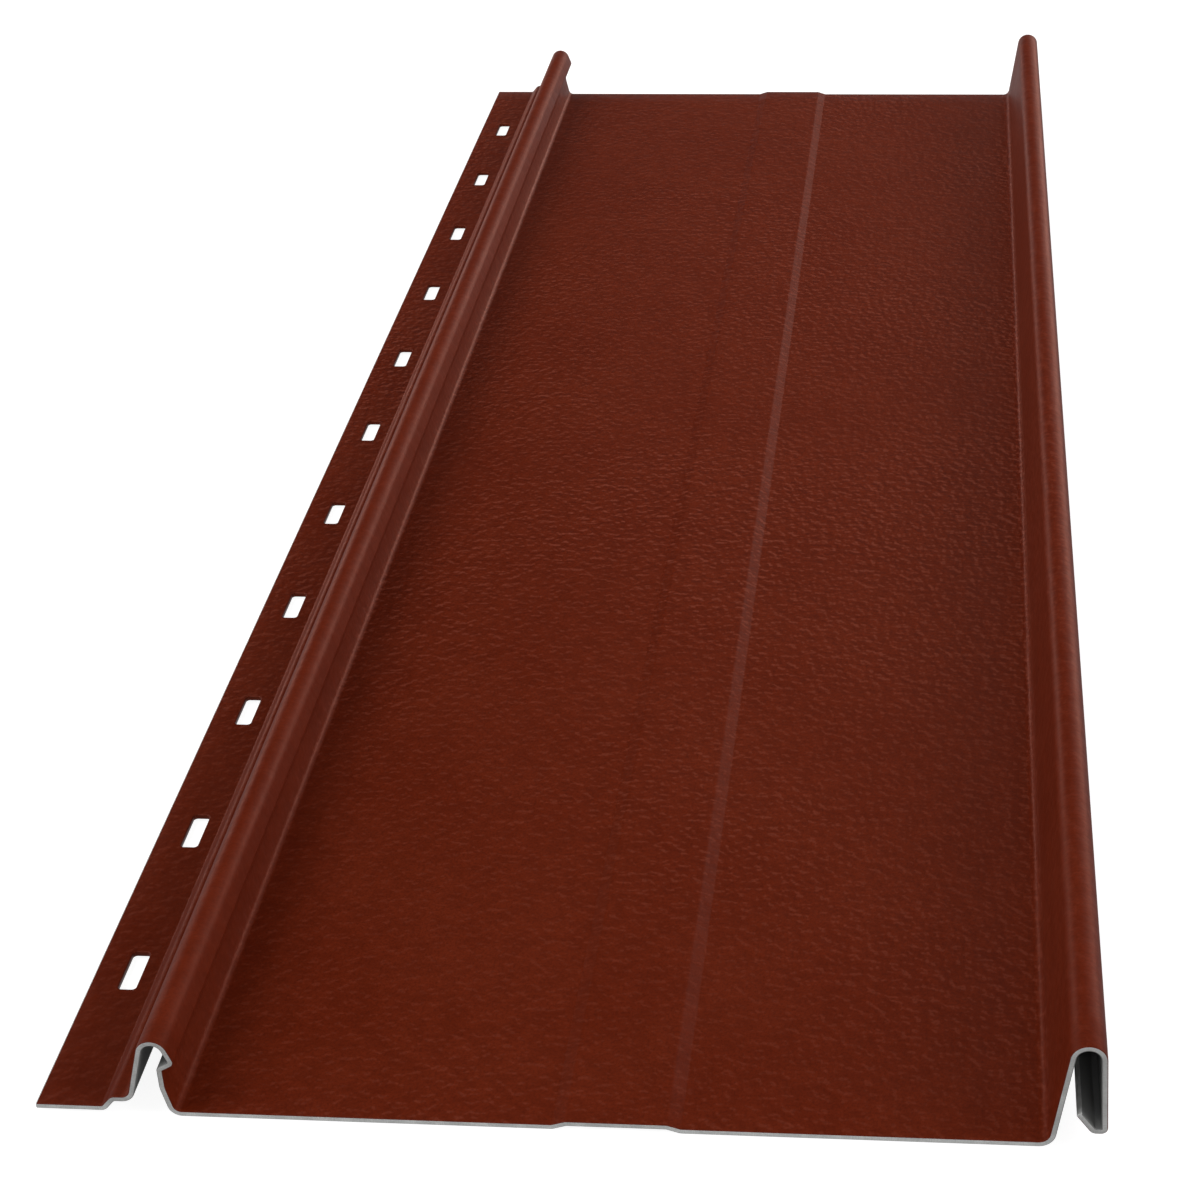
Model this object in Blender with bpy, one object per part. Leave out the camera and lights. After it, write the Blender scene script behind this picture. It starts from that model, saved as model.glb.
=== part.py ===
"""Snap-lock standing seam roof panel: one roll-formed and punched sheet, lying on its pan.

Metres, +Z up. The panel's length runs along Y. X runs across it, from the fastening flange
(left) to the female rib (right). Z = 0 is the underside of the pan.
"""

import math

import bmesh
import bpy

# Sheet, length and cover width
SHEET = 0.0020              # thickness of the painted sheet
PANEL_LENGTH = 1.000
COVER_WIDTH = 0.305         # centre of the male rib's crown to centre of the female rib's

# Fastening flange, measured from its free edge
FLANGE_FLAT = 0.0232        # free edge to the foot of the step
FLANGE_LIFT = 0.0013        # flange above the plane of the pan
STEP_RUN = 0.0035
STEP_RISE = 0.0041
STEP_FLAT = 0.0062          # top of the step to the foot of the male rib
STEP_BEND = 0.0015

# Slots for the fasteners, long axis along the panel
SLOT_LENGTH = 0.0210
SLOT_WIDTH = 0.0065
SLOT_CORNER = 0.0015        # radius of the slot's corners
SLOT_PITCH = 0.0857
SLOT_END_DISTANCE = 0.070   # least distance from a slot's centre to the panel's end
SLOT_FROM_EDGE = 0.01375    # centre of the slots to the flange's free edge

# Male rib
MALE_HEIGHT = 0.0316        # top of the rib above the pan's underside
MALE_LEAN = math.radians(15)
MALE_FOOT_BEND = 0.0040
MALE_CROWN_BEND = 0.0045
BARB_SLOPE = math.radians(20)
BARB_DROP = 0.0082          # crown down to the tip of the barb
BARB_BEND = 0.0014
LOCK_DEPTH = 0.0044         # how far the barb stands out over the neck
LOCK_RISE = 0.0026
LOCK_BEND = 0.0012
NECK_HEIGHT = 0.0080        # upright stretch under the barb
NECK_BEND = 0.014
MALE_LEG_RUN = 0.0023       # from the neck out to the pan's fold
PAN_FOLD_BEND = 0.0038

# Raised flat along the middle of the pan
STIFFENER_TOP = 0.0334
STIFFENER_RAMP = 0.0046
STIFFENER_RISE = 0.0015
STIFFENER_BEND = 0.003

# Female rib
FEMALE_HEIGHT = 0.0423      # top of the rib above the pan's underside
FEMALE_LEAN = math.radians(9)
FEMALE_FOOT_BEND = 0.0047
FEMALE_CROWN_BEND = 0.0051
OUTER_LEG_LEAN = math.radians(2.5)
HEM_CLEARANCE = 0.0062      # gap under the hem, above the plane of the pan
HEM_FLAT = 0.0036
HEM_BEND = 0.0013
LIP_BEND = 0.0017
LIP_ANGLE = math.radians(54)
LIP_RISE = 0.0069

ARC_STEP = math.radians(7)   # most that one facet of a bend turns
SLOT_CORNER_FACETS = 5       # facets round each corner of a slot
CUTTER_OVERSHOOT = 0.004     # how far a cutter runs past both faces of the sheet

PAINT = (0.085, 0.012, 0.006, 1.0)


def leg_run(lean, rise, bend):
    """How far a leg's foot lies across from the centre of the crown that it runs up to."""
    return rise * math.tan(lean) + bend / math.cos(lean)


def crown_corner(centre_x, centre_z, bend, near_lean, far_lean):
    """Where the lines of a rib's two legs meet, above the crown that joins them."""
    spread = bend / math.sin(near_lean + far_lean)
    x = centre_x + spread * (math.sin(near_lean) - math.sin(far_lean))
    z = centre_z + spread * (math.cos(near_lean) + math.cos(far_lean))
    return x, z


def panel_corners():
    """Corners of the sheet's middle line as (x, z, bend radius), from the flange to the lip."""
    mid = SHEET / 2

    flange_z = mid + FLANGE_LIFT
    step_z = flange_z + STEP_RISE
    step_x = FLANGE_FLAT + STEP_RUN

    male_foot_x = step_x + STEP_FLAT
    male_centre_z = MALE_HEIGHT - mid - MALE_CROWN_BEND
    male_centre_x = male_foot_x + leg_run(MALE_LEAN, male_centre_z - step_z, MALE_CROWN_BEND)
    male_x, male_z = crown_corner(
        male_centre_x, male_centre_z, MALE_CROWN_BEND, MALE_LEAN, BARB_SLOPE
    )
    barb_z = MALE_HEIGHT - mid - BARB_DROP
    barb_x = male_x + (male_z - barb_z) * math.tan(BARB_SLOPE)
    neck_x = barb_x - LOCK_DEPTH
    neck_top_z = barb_z - LOCK_RISE
    pan_left_x = neck_x + MALE_LEG_RUN

    female_centre_x = male_centre_x + COVER_WIDTH
    female_centre_z = FEMALE_HEIGHT - mid - FEMALE_CROWN_BEND
    pan_right_x = female_centre_x - leg_run(
        FEMALE_LEAN, female_centre_z - mid, FEMALE_CROWN_BEND
    )
    female_x, female_z = crown_corner(
        female_centre_x, female_centre_z, FEMALE_CROWN_BEND, FEMALE_LEAN, OUTER_LEG_LEAN
    )
    hem_z = HEM_CLEARANCE + mid
    hem_x = female_x + (female_z - hem_z) * math.tan(OUTER_LEG_LEAN)
    lip_x = hem_x - HEM_FLAT

    middle_x = (male_centre_x + female_centre_x) / 2
    half_top = STIFFENER_TOP / 2
    half_base = half_top + STIFFENER_RAMP
    raised_z = mid + STIFFENER_RISE

    return [
        (0.0, flange_z, 0.0),
        (FLANGE_FLAT, flange_z, STEP_BEND),
        (step_x, step_z, STEP_BEND),
        (male_foot_x, step_z, MALE_FOOT_BEND),
        (male_x, male_z, MALE_CROWN_BEND),
        (barb_x, barb_z, BARB_BEND),
        (neck_x, neck_top_z, LOCK_BEND),
        (neck_x, neck_top_z - NECK_HEIGHT, NECK_BEND),
        (pan_left_x, mid, PAN_FOLD_BEND),
        (middle_x - half_base, mid, STIFFENER_BEND),
        (middle_x - half_top, raised_z, STIFFENER_BEND),
        (middle_x + half_top, raised_z, STIFFENER_BEND),
        (middle_x + half_base, mid, STIFFENER_BEND),
        (pan_right_x, mid, FEMALE_FOOT_BEND),
        (female_x, female_z, FEMALE_CROWN_BEND),
        (hem_x, hem_z, HEM_BEND),
        (lip_x, hem_z, LIP_BEND),
        (lip_x - LIP_RISE / math.tan(LIP_ANGLE), hem_z + LIP_RISE, 0.0),
    ]


def middle_line(corners):
    """Points along the bent sheet's middle line, each with the unit normal to its left."""
    line = []

    def add(x, z, heading):
        line.append((x, z, -math.sin(heading), math.cos(heading)))

    headings = [
        math.atan2(b[1] - a[1], b[0] - a[0]) for a, b in zip(corners, corners[1:])
    ]
    add(corners[0][0], corners[0][1], headings[0])
    for corner, before, after in zip(corners[1:-1], headings, headings[1:]):
        x, z, radius = corner
        turn = math.remainder(after - before, math.tau)
        tangent = radius * math.tan(abs(turn) / 2)
        side = math.copysign(radius, turn)
        start_x = x - tangent * math.cos(before)
        start_z = z - tangent * math.sin(before)
        centre_x = start_x - side * math.sin(before)
        centre_z = start_z + side * math.cos(before)
        steps = max(2, math.ceil(abs(turn) / ARC_STEP))
        for k in range(steps + 1):
            heading = before + turn * k / steps
            add(
                centre_x + side * math.sin(heading),
                centre_z - side * math.cos(heading),
                heading,
            )
    add(corners[-1][0], corners[-1][1], headings[-1])
    return line


def section_outline(corners, thickness):
    """Closed outline of the sheet's cross section."""
    line = middle_line(corners)
    half = thickness / 2
    painted = [(x + half * nx, z + half * nz) for x, z, nx, nz in line]
    back = [(x - half * nx, z - half * nz) for x, z, nx, nz in line]
    return painted + back[::-1]


def extruded(name, outline, y_from, y_to):
    """Closed mesh of an outline in the XZ plane, drawn out along Y."""
    body = bmesh.new()
    front = body.faces.new([body.verts.new((x, y_from, z)) for x, z in outline])
    drawn = bmesh.ops.extrude_face_region(body, geom=[front])
    moved = [item for item in drawn["geom"] if isinstance(item, bmesh.types.BMVert)]
    bmesh.ops.translate(body, verts=moved, vec=(0.0, y_to - y_from, 0.0))
    bmesh.ops.recalc_face_normals(body, faces=body.faces)
    mesh = bpy.data.meshes.new(name)
    body.to_mesh(mesh)
    body.free()
    return mesh


def slot_centres():
    """Y of each slot: as many whole pitches as fit, centred on the panel's length."""
    pitches = int((PANEL_LENGTH - 2 * SLOT_END_DISTANCE) / SLOT_PITCH + 1e-6)
    return [(k - pitches / 2) * SLOT_PITCH for k in range(pitches + 1)]


def slot_cutters(name):
    """One round-cornered prism for each slot, standing right through the flange."""
    side = SLOT_WIDTH / 2 - SLOT_CORNER
    end = SLOT_LENGTH / 2 - SLOT_CORNER
    bottom = FLANGE_LIFT - CUTTER_OVERSHOOT
    top = FLANGE_LIFT + SHEET + CUTTER_OVERSHOOT
    body = bmesh.new()
    for centre_y in slot_centres():
        rim = []
        for quarter, (across, along) in enumerate(((1, 1), (-1, 1), (-1, -1), (1, -1))):
            for k in range(SLOT_CORNER_FACETS + 1):
                angle = math.pi / 2 * (quarter + k / SLOT_CORNER_FACETS)
                x = SLOT_FROM_EDGE + across * side + SLOT_CORNER * math.cos(angle)
                y = centre_y + along * end + SLOT_CORNER * math.sin(angle)
                rim.append(body.verts.new((x, y, bottom)))
        face = body.faces.new(rim)
        drawn = bmesh.ops.extrude_face_region(body, geom=[face])
        moved = [item for item in drawn["geom"] if isinstance(item, bmesh.types.BMVert)]
        bmesh.ops.translate(body, verts=moved, vec=(0.0, 0.0, top - bottom))
    bmesh.ops.recalc_face_normals(body, faces=body.faces)
    mesh = bpy.data.meshes.new(name)
    body.to_mesh(mesh)
    body.free()
    cutter = bpy.data.objects.new(name, mesh)
    cutter.hide_render = True
    cutter.display_type = "WIRE"
    return cutter


def painted_metal():
    """Dark oxide red coil coating."""
    material = bpy.data.materials.new("painted_metal")
    material.use_nodes = True
    shader = material.node_tree.nodes["Principled BSDF"]
    shader.inputs["Base Color"].default_value = PAINT
    shader.inputs["Metallic"].default_value = 0.0
    shader.inputs["Roughness"].default_value = 0.45
    return material


def build():
    for old in list(bpy.data.objects):
        bpy.data.objects.remove(old, do_unlink=True)
    scene = bpy.context.scene.collection

    outline = section_outline(panel_corners(), SHEET)
    width = max(x for x, z in outline)
    mesh = extruded("roof_panel", outline, -PANEL_LENGTH / 2, PANEL_LENGTH / 2)
    mesh.materials.append(painted_metal())
    panel = bpy.data.objects.new("roof_panel", mesh)
    scene.objects.link(panel)

    cutter = slot_cutters("slot_cutters")
    scene.objects.link(cutter)
    punch = panel.modifiers.new("punched_slots", "BOOLEAN")
    punch.operation = "DIFFERENCE"
    punch.solver = "EXACT"
    punch.object = cutter

    # The origin lies under the middle of the panel.
    for item in (panel, cutter):
        item.location.x = -width / 2

    mesh.shade_smooth()
    mesh.set_sharp_from_angle(angle=math.radians(30))


build()
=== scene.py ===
"""Snap-lock roof panel: the finely made sheet, its coatings, and a plain studio.

Metres, +Z up. The panel's length runs along Y, and X runs across it from the fastening
flange to the female rib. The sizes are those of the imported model, apart from a slightly
softer bend of the step.
"""
import math

import bpy
from mathutils import Matrix, Vector, noise


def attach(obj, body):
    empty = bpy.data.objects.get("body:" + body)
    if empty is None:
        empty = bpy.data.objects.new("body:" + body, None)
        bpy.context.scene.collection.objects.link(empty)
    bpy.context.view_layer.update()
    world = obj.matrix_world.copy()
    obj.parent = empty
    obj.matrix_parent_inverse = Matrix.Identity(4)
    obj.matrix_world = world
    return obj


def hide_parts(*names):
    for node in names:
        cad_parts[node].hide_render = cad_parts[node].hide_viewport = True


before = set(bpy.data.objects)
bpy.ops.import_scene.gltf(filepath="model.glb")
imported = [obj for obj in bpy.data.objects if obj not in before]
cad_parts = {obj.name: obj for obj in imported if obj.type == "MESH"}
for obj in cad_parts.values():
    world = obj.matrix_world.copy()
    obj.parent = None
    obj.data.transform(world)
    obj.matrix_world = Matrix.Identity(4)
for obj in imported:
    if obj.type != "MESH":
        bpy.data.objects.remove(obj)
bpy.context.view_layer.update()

# Section of the sheet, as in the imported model
SHEET = 0.0020
PANEL_LENGTH = 1.000
COVER_WIDTH = 0.305
FLANGE_FLAT = 0.0232
FLANGE_LIFT = 0.0013
STEP_RUN = 0.0035
STEP_RISE = 0.0041
STEP_FLAT = 0.0062
STEP_BEND = 0.0022          # 0.0015 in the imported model
MALE_HEIGHT = 0.0316
MALE_LEAN = math.radians(15)
MALE_FOOT_BEND = 0.0040
MALE_CROWN_BEND = 0.0045
BARB_SLOPE = math.radians(20)
BARB_DROP = 0.0082
BARB_BEND = 0.0014
LOCK_DEPTH = 0.0044
LOCK_RISE = 0.0026
LOCK_BEND = 0.0012
NECK_HEIGHT = 0.0080
NECK_BEND = 0.014
MALE_LEG_RUN = 0.0023
PAN_FOLD_BEND = 0.0038
STIFFENER_TOP = 0.0334
STIFFENER_RAMP = 0.0046
STIFFENER_RISE = 0.0015
STIFFENER_BEND = 0.003
FEMALE_HEIGHT = 0.0423
FEMALE_LEAN = math.radians(9)
FEMALE_FOOT_BEND = 0.0047
FEMALE_CROWN_BEND = 0.0051
OUTER_LEG_LEAN = math.radians(2.5)
HEM_CLEARANCE = 0.0062
HEM_FLAT = 0.0036
HEM_BEND = 0.0013
LIP_BEND = 0.0017
LIP_ANGLE = math.radians(54)
LIP_RISE = 0.0069

# Slots of the fastening flange
SLOT_LENGTH = 0.0210
SLOT_WIDTH = 0.0065
SLOT_CORNER = 0.0015
SLOT_PITCH = 0.0857
SLOT_COUNT = 11
SLOT_FROM_EDGE = 0.01375

# Fineness of the mesh and the small radii of the cut edges
ARC_STEP = math.radians(4.5)
EDGE_ROUND = 0.00040        # along the flange's free edge and the lip
END_ROUND = 0.00028         # round the cut across each end
ROUND_STEPS = 3
PATCH_HALF_WIDTH = 0.0066   # flat patch that each slot is set in
PATCH_HALF_LENGTH = 0.0140
PATCH_COLUMN = 0.0022       # columns of the patch, either side of its middle
CORNER_STEPS = 9            # facets round a slot's corner
SLOT_DRAWN_IN = 0.00045     # radius that the punch leaves on the painted side
SLOT_BREAK_OUT = 0.00020    # and on the back
SLOT_MARGIN = 0.00035       # flat ring round the slot that keeps its shading even
WAVE_HEIGHT = 0.00022       # gentle unevenness of the pan's flats
FLATS_BELOW = 0.006         # height under which a point belongs to the pan
ROW_SPACING = 0.017
LONGEST_PIECE = 0.009       # most that one piece of a flat measures across the panel
LAST_PATCH_COLUMN = 5       # points of the section up to the end of the slots' patch
WALL_UV_STEP = 0.0012       # step of the UVs round a slot's wall


def leg_run(lean, rise, bend):
    """How far a leg's foot lies across from the centre of the crown that it runs up to."""
    return rise * math.tan(lean) + bend / math.cos(lean)


def crown_corner(centre_x, centre_z, bend, near_lean, far_lean):
    """Where the lines of a rib's two legs meet, above the crown that joins them."""
    spread = bend / math.sin(near_lean + far_lean)
    x = centre_x + spread * (math.sin(near_lean) - math.sin(far_lean))
    z = centre_z + spread * (math.cos(near_lean) + math.cos(far_lean))
    return x, z


def panel_corners():
    """Corners of the sheet's middle line as (x, z, bend radius), from the flange to the lip."""
    mid = SHEET / 2
    flange_z = mid + FLANGE_LIFT
    step_z = flange_z + STEP_RISE
    step_x = FLANGE_FLAT + STEP_RUN
    male_foot_x = step_x + STEP_FLAT
    male_centre_z = MALE_HEIGHT - mid - MALE_CROWN_BEND
    male_centre_x = male_foot_x + leg_run(MALE_LEAN, male_centre_z - step_z, MALE_CROWN_BEND)
    male_x, male_z = crown_corner(
        male_centre_x, male_centre_z, MALE_CROWN_BEND, MALE_LEAN, BARB_SLOPE
    )
    barb_z = MALE_HEIGHT - mid - BARB_DROP
    barb_x = male_x + (male_z - barb_z) * math.tan(BARB_SLOPE)
    neck_x = barb_x - LOCK_DEPTH
    neck_top_z = barb_z - LOCK_RISE
    pan_left_x = neck_x + MALE_LEG_RUN
    female_centre_x = male_centre_x + COVER_WIDTH
    female_centre_z = FEMALE_HEIGHT - mid - FEMALE_CROWN_BEND
    pan_right_x = female_centre_x - leg_run(
        FEMALE_LEAN, female_centre_z - mid, FEMALE_CROWN_BEND
    )
    female_x, female_z = crown_corner(
        female_centre_x, female_centre_z, FEMALE_CROWN_BEND, FEMALE_LEAN, OUTER_LEG_LEAN
    )
    hem_z = HEM_CLEARANCE + mid
    hem_x = female_x + (female_z - hem_z) * math.tan(OUTER_LEG_LEAN)
    lip_x = hem_x - HEM_FLAT
    middle_x = (male_centre_x + female_centre_x) / 2
    half_top = STIFFENER_TOP / 2
    half_base = half_top + STIFFENER_RAMP
    raised_z = mid + STIFFENER_RISE
    return [
        (0.0, flange_z, 0.0),
        (FLANGE_FLAT, flange_z, STEP_BEND),
        (step_x, step_z, STEP_BEND),
        (male_foot_x, step_z, MALE_FOOT_BEND),
        (male_x, male_z, MALE_CROWN_BEND),
        (barb_x, barb_z, BARB_BEND),
        (neck_x, neck_top_z, LOCK_BEND),
        (neck_x, neck_top_z - NECK_HEIGHT, NECK_BEND),
        (pan_left_x, mid, PAN_FOLD_BEND),
        (middle_x - half_base, mid, STIFFENER_BEND),
        (middle_x - half_top, raised_z, STIFFENER_BEND),
        (middle_x + half_top, raised_z, STIFFENER_BEND),
        (middle_x + half_base, mid, STIFFENER_BEND),
        (pan_right_x, mid, FEMALE_FOOT_BEND),
        (female_x, female_z, FEMALE_CROWN_BEND),
        (hem_x, hem_z, HEM_BEND),
        (lip_x, hem_z, LIP_BEND),
        (lip_x - LIP_RISE / math.tan(LIP_ANGLE), hem_z + LIP_RISE, 0.0),
    ]


def middle_line(corners):
    """Points along the bent sheet's middle line, as (x, z, heading)."""
    line = []
    headings = [
        math.atan2(b[1] - a[1], b[0] - a[0]) for a, b in zip(corners, corners[1:])
    ]
    line.append((corners[0][0], corners[0][1], headings[0]))
    for corner, before, after in zip(corners[1:-1], headings, headings[1:]):
        x, z, radius = corner
        turn = math.remainder(after - before, math.tau)
        tangent = radius * math.tan(abs(turn) / 2)
        side = math.copysign(radius, turn)
        start_x = x - tangent * math.cos(before)
        start_z = z - tangent * math.sin(before)
        centre_x = start_x - side * math.sin(before)
        centre_z = start_z + side * math.cos(before)
        steps = max(3, math.ceil(abs(turn) / ARC_STEP))
        for k in range(steps + 1):
            heading = before + turn * k / steps
            line.append(
                (
                    centre_x + side * math.sin(heading),
                    centre_z - side * math.cos(heading),
                    heading,
                )
            )
    line.append((corners[-1][0], corners[-1][1], headings[-1]))
    return line


def with_stops(line):
    """The middle line with its free ends drawn in by the edge radius, the flange's patch
    columns put in, and long flats divided. Each point is (x, z, heading, length so far)."""
    first_x, first_z, first_heading = line[0]
    last_x, last_z, last_heading = line[-1]
    inner = [
        (first_x + EDGE_ROUND, first_z, first_heading),
        *[
            (SLOT_FROM_EDGE + dx, first_z, first_heading)
            for dx in (-PATCH_HALF_WIDTH, -PATCH_COLUMN, PATCH_COLUMN, PATCH_HALF_WIDTH)
        ],
        *line[1:-1],
        (
            last_x - EDGE_ROUND * math.cos(last_heading),
            last_z - EDGE_ROUND * math.sin(last_heading),
            last_heading,
        ),
    ]
    made = []
    length = EDGE_ROUND
    for k, (x, z, heading) in enumerate(inner):
        if k:
            px, pz, _ = inner[k - 1]
            gap = math.hypot(x - px, z - pz)
            pieces = 1
            if k > LAST_PATCH_COLUMN:
                pieces = max(1, math.ceil(gap / LONGEST_PIECE))
            for j in range(1, pieces):
                share = j / pieces
                made.append(
                    (px + (x - px) * share, pz + (z - pz) * share, heading, length + gap * share)
                )
            length += gap
        made.append((x, z, heading, length))
    return made


def loop_points(line, inset):
    """The whole outline of the section, drawn in by inset: painted side, lip edge, back,
    flange edge. Each point is (x, z, developed length, height over the middle line)."""
    half = SHEET / 2
    points = []

    def add(point, height, out):
        x, z, heading, length = point
        points.append(
            (
                x - height * math.sin(heading) + out * math.cos(heading),
                z + height * math.cos(heading) + out * math.sin(heading),
                length + out,
                height,
            )
        )

    for point in line:
        add(point, half - inset, 0.0)
    radius = EDGE_ROUND - inset
    for end, sign in ((line[-1], 1), (line[0], -1)):
        arc = [math.pi / 2 * k / ROUND_STEPS for k in range(1, ROUND_STEPS + 1)]
        upper = [
            (half - EDGE_ROUND + radius * math.cos(a), radius * math.sin(a)) for a in arc
        ]
        lower = [(-height, out) for height, out in reversed(upper)]
        rim = upper + lower
        if sign < 0:
            for point in reversed(line):
                add(point, inset - half, 0.0)
            rim = [(-height, out) for height, out in rim]
        for height, out in rim:
            add(end, height, sign * out)
    return points


def slot_rows():
    """Y of every row of the mesh, and the index of the first row of each slot's patch."""
    half = PANEL_LENGTH / 2
    centres = [(k - (SLOT_COUNT - 1) / 2) * SLOT_PITCH for k in range(SLOT_COUNT)]
    stops = [-half + END_ROUND]
    first_rows = []
    for centre in centres:
        stretch(stops, centre - PATCH_HALF_LENGTH, ROW_SPACING)
        first_rows.append(len(stops) - 1)
        stretch(stops, centre + PATCH_HALF_LENGTH, PATCH_HALF_LENGTH / 2)
    stretch(stops, half - END_ROUND, ROW_SPACING)
    return stops, first_rows, centres


def stretch(stops, to, spacing):
    """Adds even stops from the last one up to a value."""
    start = stops[-1]
    count = max(1, round((to - start) / spacing))
    stops.extend(start + (to - start) * (k + 1) / count for k in range(count))


def slot_outline(grow):
    """Round-cornered outline of a slot about its centre, grown by a distance."""
    side = SLOT_WIDTH / 2 - SLOT_CORNER
    end = SLOT_LENGTH / 2 - SLOT_CORNER
    radius = SLOT_CORNER + grow
    outline = []
    for quarter, (across, along) in enumerate(((1, 1), (-1, 1), (-1, -1), (1, -1))):
        for k in range(CORNER_STEPS + 1):
            angle = math.pi / 2 * (quarter + k / CORNER_STEPS)
            outline.append(
                (
                    across * side + radius * math.cos(angle),
                    along * end + radius * math.sin(angle),
                )
            )
    return outline


def smooth_step(value):
    value = min(1.0, max(0.0, value))
    return value * value * (3 - 2 * value)


def unevenness(x, y, left, right):
    """Small rise of the pan's flats that a long rolled sheet has, nothing at its folds."""
    across = smooth_step((x - left) / 0.035) * smooth_step((right - x) / 0.035)
    along = smooth_step((PANEL_LENGTH / 2 - abs(y)) / 0.05)
    slow = noise.noise(Vector((x * 9.0, y * 5.5, 1.7)))
    quick = noise.noise(Vector((x * 22.0, y * 13.0, 6.3)))
    return WAVE_HEIGHT * across * along * max(0.0, 0.5 + 0.75 * slow + 0.25 * quick)


class SheetMesh:
    """Points, faces, UVs and material numbers of the sheet while it is being made."""

    PAINT, BACK, CUT = range(3)

    def __init__(self, shift):
        self.shift = shift
        self.points = []
        self.faces = []
        self.uvs = []
        self.slots = []

    def point(self, x, y, z):
        self.points.append((x, y, z))
        return len(self.points) - 1

    def face(self, corners, uvs, slot):
        self.faces.append(corners)
        self.uvs.extend(uvs)
        self.slots.append(slot)


def angle_about(point, centre):
    return math.atan2(point[1] - centre[1], point[0] - centre[0]) % math.tau


def fill_between(sheet, outer, inner, centre, upward, slot):
    """Triangles between two closed loops of point numbers that both run round a centre."""
    position = sheet.points

    def turned(loop):
        start = min(range(len(loop)), key=lambda k: angle_about(position[loop[k]], centre))
        return loop[start:] + loop[:start]

    outer = turned(outer)
    inner = turned(inner)
    angles_outer = [angle_about(position[k], centre) for k in outer] + [math.tau + 10]
    angles_inner = [angle_about(position[k], centre) for k in inner] + [math.tau + 10]
    i = j = 0
    while i < len(outer) or j < len(inner):
        a = outer[i % len(outer)]
        b = inner[j % len(inner)]
        next_outer = angles_outer[i + 1] if i + 1 < len(outer) else math.tau + angles_outer[0]
        next_inner = angles_inner[j + 1] if j + 1 < len(inner) else math.tau + angles_inner[0]
        if j >= len(inner) or (i < len(outer) and next_outer <= next_inner):
            i += 1
            corners = (a, outer[i % len(outer)], b)
        else:
            j += 1
            corners = (a, inner[j % len(inner)], b)
        if not upward:
            corners = corners[::-1]
        uvs = [(position[k][0] + sheet.shift, position[k][1]) for k in corners]
        sheet.face(corners, uvs, slot)


def slot_hole(sheet, centre_y, top_ring, bottom_ring, offset):
    """The punched slot in its patch: drawn-in rim, wall and break-out, down to the back."""
    top = FLANGE_LIFT + SHEET
    bottom = FLANGE_LIFT
    levels = [(SLOT_DRAWN_IN + SLOT_MARGIN, top), (SLOT_DRAWN_IN, top)]
    for k in range(1, 5):
        angle = math.pi / 2 * k / 4
        levels.append(
            (SLOT_DRAWN_IN * (1 - math.sin(angle)), top - SLOT_DRAWN_IN * (1 - math.cos(angle)))
        )
    for k in range(4):
        angle = math.pi / 2 * k / 3
        levels.append(
            (
                SLOT_BREAK_OUT * (1 - math.cos(angle)),
                bottom + SLOT_BREAK_OUT * (1 - math.sin(angle)),
            )
        )
    levels.append((SLOT_BREAK_OUT + SLOT_MARGIN, bottom))
    rings = []
    for grow, z in levels:
        rings.append(
            [
                sheet.point(SLOT_FROM_EDGE + x - offset, centre_y + y, z)
                for x, y in slot_outline(grow)
            ]
        )
    centre = (SLOT_FROM_EDGE - offset, centre_y)
    fill_between(sheet, top_ring, rings[0], centre, True, sheet.PAINT)
    # The punch draws the coat down the wall, as far as the break-out.
    for number, (upper, lower) in enumerate(zip(rings, rings[1:])):
        slot = sheet.PAINT if number < 6 else sheet.CUT
        if number == len(rings) - 2:
            slot = sheet.BACK
        count = len(upper)
        for k in range(count):
            corners = (upper[k], upper[(k + 1) % count], lower[(k + 1) % count], lower[k])
            u0 = WALL_UV_STEP * k
            u1 = u0 + WALL_UV_STEP
            v0 = sheet.points[upper[k]][2]
            v1 = sheet.points[lower[k]][2]
            uvs = [(u0, v0), (u1, v0), (u1, v1), (u0, v1)]
            sheet.face(corners, uvs, slot)
    fill_between(sheet, bottom_ring, rings[-1], centre, False, sheet.BACK)


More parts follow.
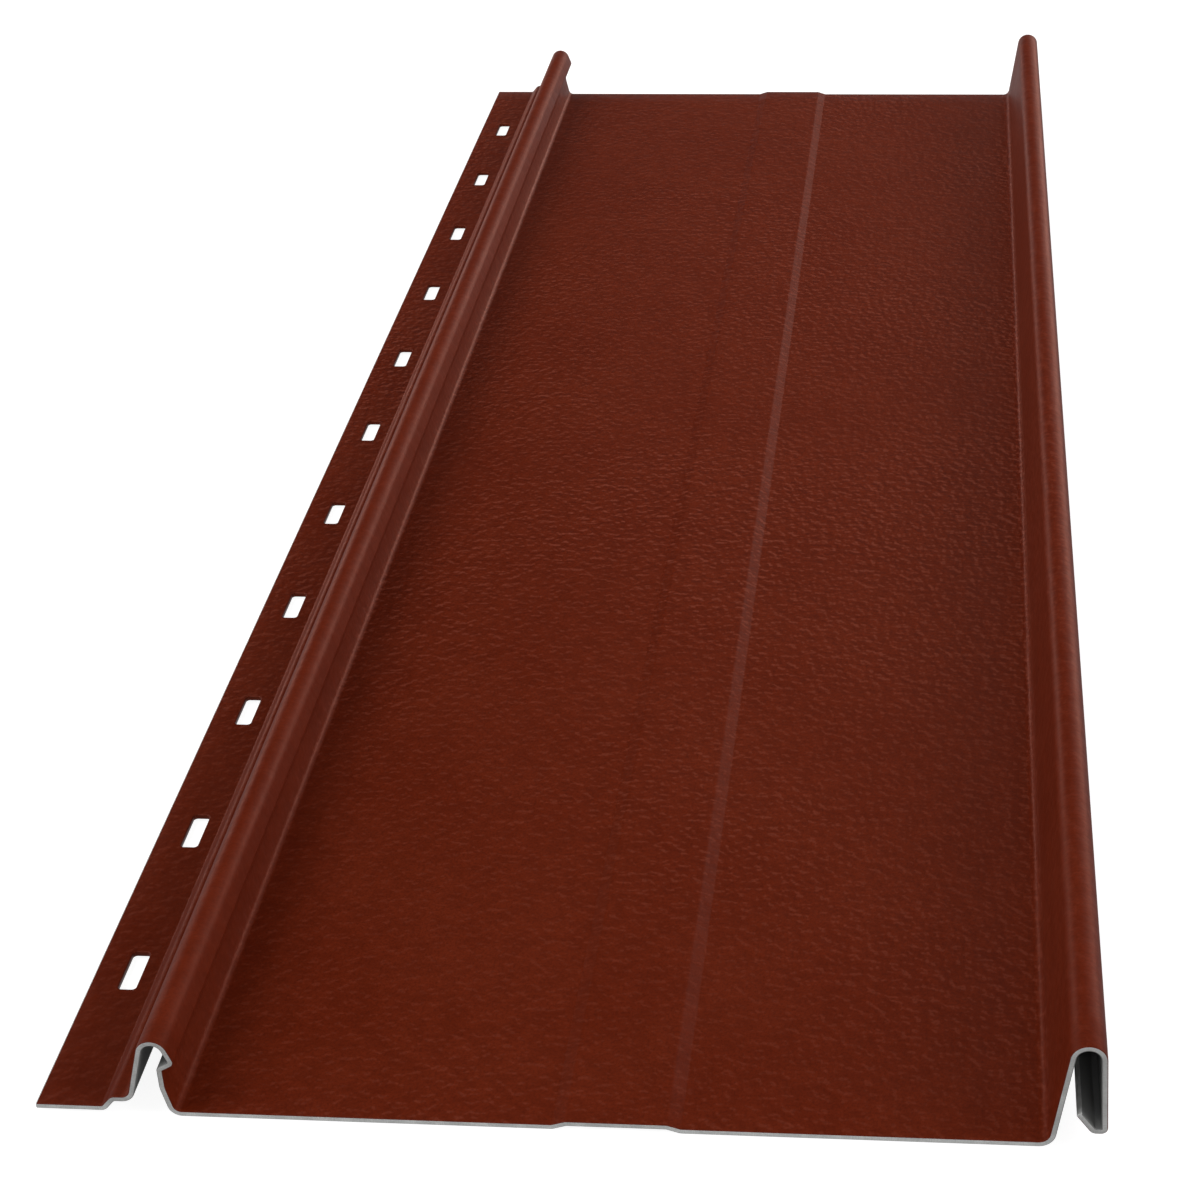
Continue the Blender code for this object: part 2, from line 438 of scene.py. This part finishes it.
def sheet_mesh():
    corners = panel_corners()
    line = with_stops(middle_line(corners))
    painted_count = len(line)
    rim_count = 2 * ROUND_STEPS
    half = PANEL_LENGTH / 2
    stops, first_rows, centres = slot_rows()
    pan_left = corners[8][0]
    pan_right = corners[13][0]

    # Rows as (y, inset): the two cut ends are rounded, the rest is straight.
    rounding = [math.pi / 2 * k / ROUND_STEPS for k in range(ROUND_STEPS, 0, -1)]
    rows = [
        (-half + END_ROUND * (1 - math.sin(a)), END_ROUND * (1 - math.cos(a))) for a in rounding
    ]
    first_stop = len(rows)
    rows += [(y, 0.0) for y in stops]
    rows += [(-y, inset) for y, inset in reversed(rows[:first_stop])]

    loops = {inset: loop_points(line, inset) for inset in {inset for _, inset in rows}}
    offset = max(x for x, *_ in loops[0.0]) / 2
    sheet = SheetMesh(offset)
    grid = []
    for y, inset in rows:
        ring = []
        for number, (x, z, length, height) in enumerate(loops[inset]):
            if pan_left < x < pan_right and z < FLATS_BELOW:
                z += unevenness(x, y, pan_left, pan_right)
            ring.append(sheet.point(x - offset, y, z))
        grid.append(ring)

    outline = loops[0.0]
    count = len(outline)
    back_from = painted_count + rim_count
    back_to = back_from + painted_count

    def kind(k):
        if k < painted_count - 1:
            return sheet.PAINT
        if back_from <= k < back_to - 1:
            return sheet.BACK
        return sheet.CUT

    patch_columns = range(1, 4)
    back_columns = [back_to - 1 - k - 1 for k in patch_columns]
    patch_rows = {first_stop + row + k for row in first_rows for k in range(4)}
    for row in range(len(rows) - 1):
        low, high = grid[row], grid[row + 1]
        y_low, y_high = rows[row][0], rows[row + 1][0]
        for k in range(count):
            if row in patch_rows and (k in patch_columns or k in back_columns):
                continue
            after = (k + 1) % count
            u0 = outline[k][2]
            u1 = outline[after][2]
            corners_here = (low[k], low[after], high[after], high[k])
            uvs = [(u0, y_low), (u1, y_low), (u1, y_high), (u0, y_high)]
            sheet.face(corners_here, uvs, kind(k))

    for row, centre_y in zip(first_rows, centres):
        base = first_stop + row
        for columns, top_side in ((patch_columns, True), (back_columns, False)):
            low_k, high_k = min(columns), max(columns) + 1
            if top_side:
                ring = [grid[base][k] for k in range(low_k, high_k)]
                ring += [grid[base + r][high_k] for r in range(4)]
                ring += [grid[base + 4][k] for k in range(high_k, low_k, -1)]
                ring += [grid[base + r][low_k] for r in range(4, 0, -1)]
                top_ring = ring
            else:
                ring = [grid[base][k] for k in range(high_k, low_k, -1)]
                ring += [grid[base + r][low_k] for r in range(4)]
                ring += [grid[base + 4][k] for k in range(low_k, high_k)]
                ring += [grid[base + r][high_k] for r in range(4, 0, -1)]
                bottom_ring = ring
        slot_hole(sheet, centre_y, top_ring, bottom_ring, offset)

    # The cut across each end: a strip from the painted side to the back.
    for ring, turned in ((grid[0], False), (grid[-1], True)):
        inset = rows[0][1]
        outline_end = loops[inset]
        for k in range(painted_count - 1):
            across = count - ROUND_STEPS * 2 - 1 - k
            corners_here = (ring[k], ring[across], ring[across - 1], ring[k + 1])
            top_v, low_v = outline_end[k][3], outline_end[across][3]
            u0, u1 = outline_end[k][2], outline_end[k + 1][2]
            uvs = [(u0, top_v), (u0, low_v), (u1, low_v), (u1, top_v)]
            if turned:
                corners_here = corners_here[::-1]
                uvs = uvs[::-1]
            sheet.face(corners_here, uvs, sheet.CUT)
        lip = list(range(painted_count - 1, painted_count + rim_count + 1))
        flange = [*range(back_to - 1, count), 0]
        for numbers in (lip, flange):
            corners_here = tuple(ring[k] for k in reversed(numbers))
            uvs = [(outline_end[k][2], outline_end[k][3]) for k in reversed(numbers)]
            if turned:
                corners_here = corners_here[::-1]
                uvs = uvs[::-1]
            sheet.face(corners_here, uvs, sheet.CUT)

    mesh = bpy.data.meshes.new("panel_sheet")
    mesh.from_pydata(sheet.points, [], sheet.faces)
    layer = mesh.uv_layers.new(name="UVMap")
    flat = [value for uv in sheet.uvs for value in uv]
    layer.data.foreach_set("uv", flat)
    mesh.polygons.foreach_set("material_index", sheet.slots)
    mesh.update()
    return mesh


class Nodes:
    """Short hand for building a node tree."""

    def __init__(self, tree):
        self.tree = tree

    def add(self, kind, inputs=None, **settings):
        node = self.tree.nodes.new(kind)
        for name, value in settings.items():
            setattr(node, name, value)
        for name, value in (inputs or {}).items():
            self.put(node, name, value)
        return node

    def put(self, node, name, value):
        socket = node.inputs[name]
        if isinstance(value, bpy.types.NodeSocket):
            self.tree.links.new(value, socket)
        else:
            socket.default_value = value

    def math(self, operation, a, b=0.0, c=0.0, clamp=False):
        node = self.add("ShaderNodeMath", {0: a, 1: b, 2: c}, operation=operation)
        node.use_clamp = clamp
        return node.outputs[0]

    def ramp(self, value, low, high, to_low=0.0, to_high=1.0):
        node = self.add(
            "ShaderNodeMapRange",
            {"Value": value, "From Min": low, "From Max": high, "To Min": to_low, "To Max": to_high},
            interpolation_type="SMOOTHSTEP",
        )
        return node.outputs["Result"]

    def mix(self, share, a, b, blend="MIX"):
        node = self.add("ShaderNodeMix", data_type="RGBA", blend_type=blend)
        self.put(node, "Factor", share)
        self.put(node, 6, a)
        self.put(node, 7, b)
        return node.outputs[2]

    def noise(self, place, scale, detail, roughness):
        node = self.add(
            "ShaderNodeTexNoise",
            {"Vector": place, "Scale": scale, "Detail": detail, "Roughness": roughness},
        )
        return node.outputs["Fac"]

    def bump(self, height, depth, strength):
        node = self.add(
            "ShaderNodeBump", {"Height": height, "Distance": depth, "Strength": strength}
        )
        return node.outputs["Normal"]


def new_material(name):
    material = bpy.data.materials.new(name)
    material.use_nodes = True
    nodes = Nodes(material.node_tree)
    shader = material.node_tree.nodes["Principled BSDF"]
    return material, nodes, shader


def painted_material():
    """Oxide red coil coating with a low pebbled wrinkle."""
    material, nodes, shader = new_material("painted_sheet")
    place = nodes.add("ShaderNodeTexCoord").outputs["Object"]
    pebble_scale = 270.0

    # Wrinkle: low pebbles a few millimetres across, laid out on the sheet as it was before it
    # was bent. One side of each gets a painted highlight and the other a painted shade, as if lit
    # from one side: that is the difference between the pebbles and a slightly moved copy of them.
    flat = nodes.add("ShaderNodeUVMap", uv_map="UVMap").outputs["UV"]
    moved = nodes.add(
        "ShaderNodeMapping",
        {"Vector": flat, "Location": (-0.0006, 0.0008, 0.0), "Scale": (1.0035, 1.0, 1.0)},
    )
    moved = moved.outputs["Vector"]

    def crumple(scale, detail, at=flat):
        node = nodes.add(
            "ShaderNodeTexNoise", {"Vector": at, "Scale": scale, "Detail": detail},
            noise_dimensions="2D",
        )
        return node.outputs["Fac"]

    pebbles = crumple(pebble_scale, 1.0)
    rise = nodes.math("SUBTRACT", crumple(pebble_scale, 1.0, moved), pebbles)
    across, along, up = nodes.add("ShaderNodeSeparateXYZ", {0: place}).outputs
    ribs = nodes.ramp(up, 0.0050, 0.0090)
    flange = nodes.ramp(across, -0.153, -0.149, 1.0, 0.0)
    # The wrinkle is uneven, weaker towards the front end and on the ribs.
    patch = nodes.ramp(nodes.noise(place, 6.0, 1.0, 0.5), 0.32, 0.68, 0.55, 1.0)
    patch = nodes.math("MULTIPLY", patch, nodes.ramp(along, -0.46, -0.08, 0.45, 1.0))
    patch = nodes.math("MULTIPLY", patch, nodes.ramp(ribs, 0.0, 1.0, 1.0, 0.4))
    # Painted highlight on the lit side of each pebble and painted shade on the other side.
    painted_highlight = nodes.math("MULTIPLY", nodes.ramp(rise, 0.04, 0.18, 0.0, 0.90), patch)
    painted_shade = nodes.math("MULTIPLY", nodes.ramp(rise, -0.18, -0.03, 0.60, 0.0), patch)
    swell = crumple(120.0, 2.0)

    tone = nodes.noise(place, 14.0, 2.0, 0.55)
    grain = crumple(950.0, 1.0)
    colour = nodes.mix(
        nodes.ramp(tone, 0.30, 0.70), (0.118, 0.0130, 0.0030, 1.0), (0.131, 0.0158, 0.0040, 1.0)
    )
    colour = nodes.mix(
        nodes.ramp(swell, 0.34, 0.66, 0.26, 0.0), colour, (0.066, 0.0060, 0.0008, 1.0)
    )
    colour = nodes.mix(painted_highlight, colour, (0.205, 0.046, 0.026, 1.0))
    colour = nodes.mix(painted_shade, colour, (0.066, 0.0050, 0.0008, 1.0))
    colour = nodes.mix(
        nodes.ramp(grain, 0.42, 0.70, 0.0, 0.32), colour, (0.055, 0.0050, 0.0008, 1.0)
    )
    # Painted shade: the colour is darker towards the front end, most of all on the flange.
    painted_front_shade = nodes.math("MULTIPLY_ADD", flange, 0.22, 0.14)
    painted_front_shade = nodes.math("MULTIPLY", painted_front_shade, nodes.ramp(along, -0.50, 0.25, 1.0, 0.0))
    colour = nodes.mix(painted_front_shade, colour, (0.050, 0.0050, 0.0010, 1.0))
    nodes.put(shader, "Base Color", colour)
    shader.inputs["Specular IOR Level"].default_value = 0.20
    shader.inputs["Specular Tint"].default_value = (1.0, 0.50, 0.40, 1.0)
    roughness = nodes.math("MULTIPLY_ADD", ribs, 0.07, nodes.ramp(tone, 0.25, 0.75, 0.32, 0.38))
    nodes.put(shader, "Roughness", roughness)
    height = nodes.math("MULTIPLY", pebbles, nodes.math("MULTIPLY", patch, 0.30))
    height = nodes.math("MULTIPLY_ADD", swell, 0.60, height)
    nodes.put(shader, "Normal", nodes.bump(height, 0.00045, 1.0))
    return material


def back_material():
    """Thin grey primer on the sheet's back."""
    material, nodes, shader = new_material("back_coat")
    place = nodes.add("ShaderNodeTexCoord").outputs["Object"]
    tone = nodes.noise(place, 22.0, 3.0, 0.6)
    speck = nodes.noise(place, 800.0, 2.0, 0.6)
    colour = nodes.mix(
        nodes.ramp(tone, 0.30, 0.70), (0.190, 0.190, 0.186, 1.0), (0.235, 0.235, 0.230, 1.0)
    )
    colour = nodes.mix(nodes.ramp(speck, 0.58, 0.70, 0.0, 0.3), colour, (0.13, 0.13, 0.13, 1.0))
    nodes.put(shader, "Base Color", colour)
    nodes.put(shader, "Roughness", nodes.ramp(tone, 0.3, 0.7, 0.42, 0.52))
    nodes.put(shader, "Normal", nodes.bump(speck, 0.00003, 0.5))
    return material


def cut_material():
    """Sheared metal, blotchy, with the fine marks of the shear."""
    material, nodes, shader = new_material("cut_metal")
    place = nodes.add("ShaderNodeTexCoord").outputs["Object"]
    uv = nodes.add("ShaderNodeUVMap", uv_map="UVMap").outputs["UV"]
    stretched = nodes.add("ShaderNodeMapping", {"Vector": uv, "Scale": (1.0, 0.12, 1.0)})
    marks = nodes.noise(stretched.outputs["Vector"], 2600.0, 3.0, 0.6)
    blotch = nodes.noise(place, 130.0, 3.0, 0.6)
    colour = nodes.mix(
        nodes.ramp(blotch, 0.3, 0.7), (0.52, 0.52, 0.512, 1.0), (0.68, 0.68, 0.67, 1.0)
    )
    colour = nodes.mix(nodes.ramp(marks, 0.40, 0.70, 0.0, 0.4), colour, (0.38, 0.38, 0.372, 1.0))
    nodes.put(shader, "Base Color", colour)
    shader.inputs["Metallic"].default_value = 0.35
    nodes.put(shader, "Roughness", nodes.ramp(marks, 0.3, 0.7, 0.42, 0.60))
    nodes.put(shader, "Normal", nodes.bump(marks, 0.00004, 0.6))
    return material


def make_panel():
    mesh = sheet_mesh()
    for material in (painted_material(), back_material(), cut_material()):
        mesh.materials.append(material)
    mesh.shade_smooth()
    mesh.set_sharp_from_angle(angle=math.radians(40))
    panel = bpy.data.objects.new("panel_sheet", mesh)
    bpy.context.scene.collection.objects.link(panel)
    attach(panel, "root")
    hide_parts("roof_panel")
    return panel


def make_floor():
    """Pale floor that the camera sees as white, with the panel's faint soft shadow."""
    size = 60.0
    drop = -0.0003
    camera_glow = 0.90
    mirror_glow = 0.06
    matt_grey = 0.32
    short_ray = 0.007
    mesh = bpy.data.meshes.new("floor")
    mesh.from_pydata(
        [(-size, -size, drop), (size, -size, drop), (size, size, drop), (-size, size, drop)],
        [],
        [(0, 1, 2, 3)],
    )
    material = bpy.data.materials.new("floor")
    material.use_nodes = True
    tree = material.node_tree
    tree.nodes.clear()
    nodes = Nodes(tree)
    path = nodes.add("ShaderNodeLightPath")
    mirrored = nodes.math(
        "ADD", path.outputs["Is Glossy Ray"], path.outputs["Is Transmission Ray"], clamp=True
    )
    seen = nodes.math("MULTIPLY", path.outputs["Is Camera Ray"], camera_glow)
    seen = nodes.math("ADD", seen, nodes.math("MULTIPLY", mirrored, mirror_glow))
    matt = nodes.add("ShaderNodeBsdfDiffuse", {"Color": (matt_grey, matt_grey, matt_grey, 1.0)})
    glow = nodes.add("ShaderNodeEmission", {"Color": (1.0, 1.0, 1.0, 1.0)})
    nodes.put(glow, "Strength", seen)
    both = nodes.add("ShaderNodeAddShader")
    nodes.put(both, 0, matt.outputs[0])
    nodes.put(both, 1, glow.outputs[0])
    # The floor is clear from below. The shortest rays come from the sheet's underside, which
    # lies on it, and pass as well, so that the underside isn't black when seen from below.
    short = nodes.math("LESS_THAN", path.outputs["Ray Length"], short_ray)
    short = nodes.math(
        "MULTIPLY", short, nodes.math("SUBTRACT", 1.0, path.outputs["Is Camera Ray"])
    )
    open_side = nodes.add("ShaderNodeNewGeometry").outputs["Backfacing"]
    clear = nodes.add("ShaderNodeBsdfTransparent")
    side = nodes.add("ShaderNodeMixShader")
    nodes.put(side, 0, nodes.math("MAXIMUM", open_side, short))
    nodes.put(side, 1, both.outputs[0])
    nodes.put(side, 2, clear.outputs[0])
    output = nodes.add("ShaderNodeOutputMaterial")
    nodes.put(output, "Surface", side.outputs[0])
    mesh.materials.append(material)
    floor = bpy.data.objects.new("floor", mesh)
    bpy.context.scene.collection.objects.link(floor)


def soft_light(name, azimuth, elevation, spread, strength):
    """A broad far lamp. Azimuth runs from +Y towards +X, spread is its width in the sky."""
    light = bpy.data.lights.new(name, "SUN")
    light.angle = math.radians(spread)
    light.energy = strength
    lamp = bpy.data.objects.new(name, light)
    turn, rise = math.radians(azimuth), math.radians(elevation)
    towards = Vector(
        (math.sin(turn) * math.cos(rise), math.cos(turn) * math.cos(rise), math.sin(rise))
    )
    lamp.location = 3.0 * towards
    lamp.rotation_mode = "QUATERNION"
    lamp.rotation_quaternion = (-towards).to_track_quat("-Z", "Y")
    bpy.context.scene.collection.objects.link(lamp)


def make_light():
    world = bpy.data.worlds.new("studio")
    bpy.context.scene.world = world
    world.use_nodes = True
    nodes = Nodes(world.node_tree)
    background = world.node_tree.nodes["Background"]
    direction = nodes.add("ShaderNodeTexCoord").outputs["Generated"]
    across, deep, height = nodes.add("ShaderNodeSeparateXYZ", {0: direction}).outputs
    sky = nodes.ramp(height, math.sin(math.radians(1)), math.sin(math.radians(9)), 0.45, 0.30)
    # A dark flag stands behind the panel.
    aside = nodes.math("ABSOLUTE", nodes.math("ADD", across, 0.22))
    flag = nodes.ramp(aside, 0.25, 0.48, 1.0, 0.0)
    flag = nodes.math("MULTIPLY", flag, nodes.ramp(deep, 0.1, 0.3))
    flag = nodes.math("MULTIPLY", flag, nodes.ramp(height, 0.04, 0.14))
    flag = nodes.math("MULTIPLY", flag, nodes.ramp(height, 0.75, 0.93, 1.0, 0.0))
    below = nodes.ramp(height, -0.10, -0.02, 1.3, 1.0)
    lit = nodes.math("MULTIPLY", sky, below)
    lit = nodes.math("MULTIPLY", lit, nodes.ramp(flag, 0.0, 1.0, 1.0, 0.08))
    # Warm cards low behind the panel: one to each side draws the soft lines along the folds,
    # and three weak ones lighten the pan towards its far end and its right.
    for side, near, far, bottom, top, strength in (
        (-1.0, 0.40, 0.66, -0.1, 0.27, 2.6),
        (1.0, 0.28, 0.70, -0.1, 0.44, 2.6),
        (1.0, 0.06, 0.44, -0.1, 0.60, 0.50),
        (1.0, -0.22, 0.20, 0.32, 0.58, 0.24),
        (1.0, -0.18, 0.30, 0.50, 1.02, 0.42),
    ):
        out = nodes.math("MULTIPLY", across, side)
        card = nodes.ramp(out, near, near + 0.10)
        card = nodes.math("MULTIPLY", card, nodes.ramp(out, far - 0.10, far, 1.0, 0.0))
        card = nodes.math("MULTIPLY", card, nodes.ramp(deep, 0.55, 0.70))
        card = nodes.math("MULTIPLY", card, nodes.ramp(height, bottom, bottom + 0.08))
        card = nodes.math("MULTIPLY", card, nodes.ramp(height, top - 0.12, top, 1.0, 0.0))
        tint = (strength, 0.50 * strength, 0.38 * strength, 1.0)
        warm = nodes.mix(card, (0.0, 0.0, 0.0, 1.0), tint)
        lit = nodes.mix(1.0, lit, warm, "ADD")
    # The camera itself sees plain white past the floor.
    seen = nodes.add("ShaderNodeLightPath").outputs["Is Camera Ray"]
    nodes.put(background, "Color", nodes.mix(seen, lit, (1.0, 1.0, 1.0, 1.0)))
    background.inputs["Strength"].default_value = 1.0
    soft_light("left_low", -90.0, 12.0, 40.0, 0.80)
    soft_light("left_high", -92.0, 56.0, 40.0, 1.30)
    soft_light("right_key", 92.0, 32.0, 40.0, 1.28)
    soft_light("front_fill", 178.0, 26.0, 40.0, 0.40)


def make_camera():
    """The photograph's viewpoint: place, turn and focal length found from the panel's lines."""
    place = Vector((0.120884, -1.142753, 0.581615))
    yaw, pitch, roll = -0.0981443, 0.5299052, 0.0316441
    focal_pixels = 2601.92
    frame_pixels = 1200.0
    shift = -0.10
    sensor = 36.0
    forward = Vector(
        (math.sin(yaw) * math.cos(pitch), math.cos(yaw) * math.cos(pitch), -math.sin(pitch))
    )
    level = Vector((math.cos(yaw), -math.sin(yaw), 0.0))
    down = forward.cross(level)
    right = math.cos(roll) * level + math.sin(roll) * down
    down = -math.sin(roll) * level + math.cos(roll) * down
    camera = bpy.data.cameras.new("camera")
    camera.sensor_width = sensor
    camera.lens = focal_pixels / frame_pixels * sensor
    camera.shift_x = shift
    camera.clip_start = 0.05
    camera.clip_end = 200.0
    view = bpy.data.objects.new("camera", camera)
    turn = Matrix((right, -down, -forward)).transposed()
    view.matrix_world = Matrix.Translation(place) @ turn.to_4x4()
    bpy.context.scene.collection.objects.link(view)
    bpy.context.scene.camera = view


make_camera()
make_panel()
make_floor()
make_light()
bpy.context.scene.view_settings.view_transform = "Standard"

bpy.context.view_layer.update()
